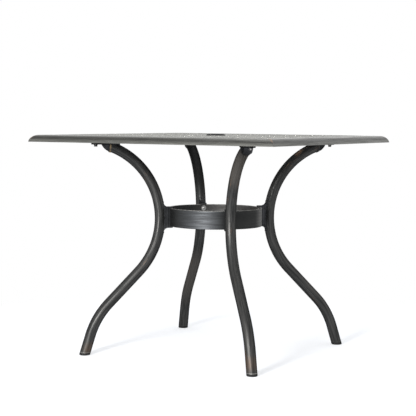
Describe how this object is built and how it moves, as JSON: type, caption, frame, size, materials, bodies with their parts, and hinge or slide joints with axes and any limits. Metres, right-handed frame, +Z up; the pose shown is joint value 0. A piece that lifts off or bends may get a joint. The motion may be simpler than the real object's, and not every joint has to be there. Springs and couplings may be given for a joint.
{
  "type": "umbrella table",
  "caption": "Square cast-aluminium patio dining table with a pierced lattice top, an umbrella hole, S-bent tube legs and a ring stretcher.",
  "frame": {"origin": "on the floor under the middle of the table top", "axes": "+Z up along the umbrella hole, X and Y along the sides of the square top"},
  "size_m": [0.915, 0.915, 0.754],
  "materials": {
    "rim": "antique bronze powder coat, hand-brushed, copper rub-through on the mitres",
    "lattice": "antique bronze powder coat over sand-cast aluminium",
    "leg": "antique bronze powder coat, brushed lengthwise, copper rub-through",
    "ring": "antique bronze powder coat, brushed round the band",
    "saddle": "antique bronze powder coat over cast aluminium",
    "bracket": "antique bronze powder coat",
    "grommet": "moulded, fine texture",
    "glide": "moulded, fine texture",
    "fastener": "bright zinc plate"
  },
  "bodies": {
    "root": {"end_gusset_front_left": "bracket", "end_gusset_front_right": "bracket", "end_gusset_rear_left": "bracket", "end_gusset_rear_right": "bracket", "foot_glide_front_left": "glide", "foot_glide_front_right": "glide", "foot_glide_rear_left": "glide", "foot_glide_rear_right": "glide", "leg_plate_front_left": "bracket", "leg_plate_front_right": "bracket", "leg_plate_rear_left": "bracket", "leg_plate_rear_right": "bracket", "leg_tube_front_left": "leg", "leg_tube_front_right": "leg", "leg_tube_rear_left": "leg", "leg_tube_rear_right": "leg", "rim_rail_front": "rim", "rim_rail_left": "rim", "rim_rail_rear": "rim", "rim_rail_right": "rim", "ring_bolts": "fastener", "ring_saddle_front_left": "saddle", "ring_saddle_front_right": "saddle", "ring_saddle_rear_left": "saddle", "ring_saddle_rear_right": "saddle", "ring_washers": "fastener", "stretcher_ring": "ring", "top_panel": "lattice", "top_screws": "fastener", "top_washers": "fastener", "umbrella_grommet": "grommet"}
  },
  "joints": []
}
